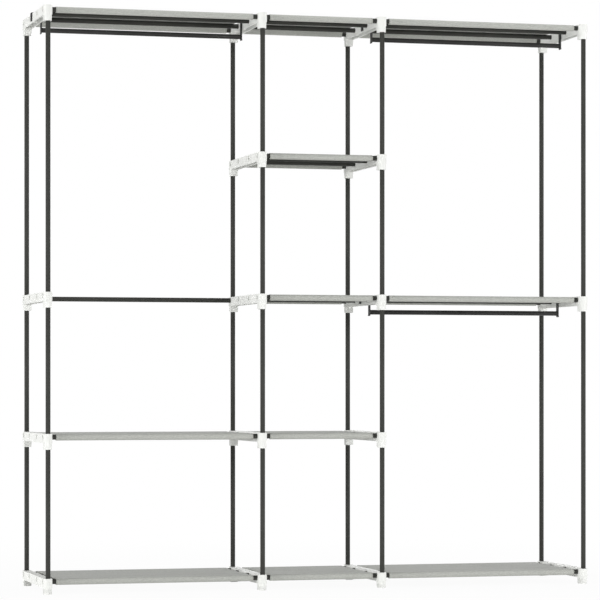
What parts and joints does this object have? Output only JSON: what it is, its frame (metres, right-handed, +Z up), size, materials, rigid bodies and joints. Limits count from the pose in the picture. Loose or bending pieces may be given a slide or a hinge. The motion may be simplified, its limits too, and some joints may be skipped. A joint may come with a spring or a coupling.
{
  "type": "open frame wardrobe",
  "caption": "Free-standing open wardrobe frame of steel tubes in moulded side brackets, with sleeved fabric shelves and sliding hanging rails.",
  "frame": {"origin": "on the floor, under the middle of the frame", "axes": "+X to the right as the front is faced, +Y from front to back, +Z up"},
  "size_m": [1.6562, 0.3866, 1.6819],
  "materials": {
    "tube_steel": "dark grey powder coat, satin",
    "rail_steel": "black coat, satin, with black strap hooks",
    "white_plastic": "moulded white plastic, fine satin grain",
    "shelf_fabric": "pale grey bonded non-woven fabric with a fine embossed pattern"
  },
  "bodies": {
    "root": {"bracket_left_end_bottom": "white_plastic", "bracket_left_inner_bottom": "white_plastic", "bracket_right_inner_bottom": "white_plastic", "bracket_right_end_bottom": "white_plastic", "cross_tube_bottom_front": "tube_steel", "cross_tube_bottom_front_inner": "tube_steel", "cross_tube_bottom_back_inner": "tube_steel", "cross_tube_bottom_back": "tube_steel", "shelf_left_bottom": "shelf_fabric", "shelf_middle_bottom": "shelf_fabric", "shelf_right_bottom": "shelf_fabric", "bracket_left_end_low": "white_plastic", "bracket_left_inner_low": "white_plastic", "bracket_right_inner_low": "white_plastic", "cross_tube_low_front": "tube_steel", "cross_tube_low_front_inner": "tube_steel", "cross_tube_low_back_inner": "tube_steel", "cross_tube_low_back": "tube_steel", "shelf_left_low": "shelf_fabric", "shelf_middle_low": "shelf_fabric", "bracket_left_end_middle": "white_plastic", "bracket_left_inner_middle": "white_plastic", "bracket_right_inner_middle": "white_plastic", "bracket_right_end_middle": "white_plastic", "cross_tube_middle_front": "tube_steel", "cross_tube_middle_front_inner": "tube_steel", "cross_tube_middle_back_inner": "tube_steel", "cross_tube_middle_back": "tube_steel", "shelf_middle_middle": "shelf_fabric", "shelf_right_middle": "shelf_fabric", "bracket_left_inner_high": "white_plastic", "bracket_right_inner_high": "white_plastic", "cross_tube_high_front": "tube_steel", "cross_tube_high_front_inner": "tube_steel", "cross_tube_high_back_inner": "tube_steel", "cross_tube_high_back": "tube_steel", "shelf_middle_high": "shelf_fabric", "bracket_left_end_top": "white_plastic", "bracket_left_inner_top": "white_plastic", "bracket_right_inner_top": "white_plastic", "bracket_right_end_top": "white_plastic", "cross_tube_top_front": "tube_steel", "cross_tube_top_front_inner": "tube_steel", "cross_tube_top_back_inner": "tube_steel", "cross_tube_top_back": "tube_steel", "shelf_left_top": "shelf_fabric", "shelf_middle_top": "shelf_fabric", "shelf_right_top": "shelf_fabric", "post_left_end_front": "tube_steel", "post_left_end_back": "tube_steel", "post_left_inner_front": "tube_steel", "post_left_inner_back": "tube_steel", "post_right_inner_front": "tube_steel", "post_right_inner_back": "tube_steel", "post_right_end_front": "tube_steel", "post_right_end_back": "tube_steel"},
    "left_top_rail": {"hanging_rail_left_top": "rail_steel"},
    "right_top_rail": {"hanging_rail_right_top": "rail_steel"},
    "right_middle_rail": {"hanging_rail_right_middle": "rail_steel"}
  },
  "joints": [
    {"name": "left_top_rail_slide", "type": "slide", "parent": "root", "child": "left_top_rail", "axis": [0, 1, 0], "range_m": [-0.067, 0.029]},
    {"name": "right_top_rail_slide", "type": "slide", "parent": "root", "child": "right_top_rail", "axis": [0, 1, 0], "range_m": [-0.027, 0.069]},
    {"name": "right_middle_rail_slide", "type": "slide", "parent": "root", "child": "right_middle_rail", "axis": [0, 1, 0], "range_m": [-0.048, 0.048]}
  ]
}
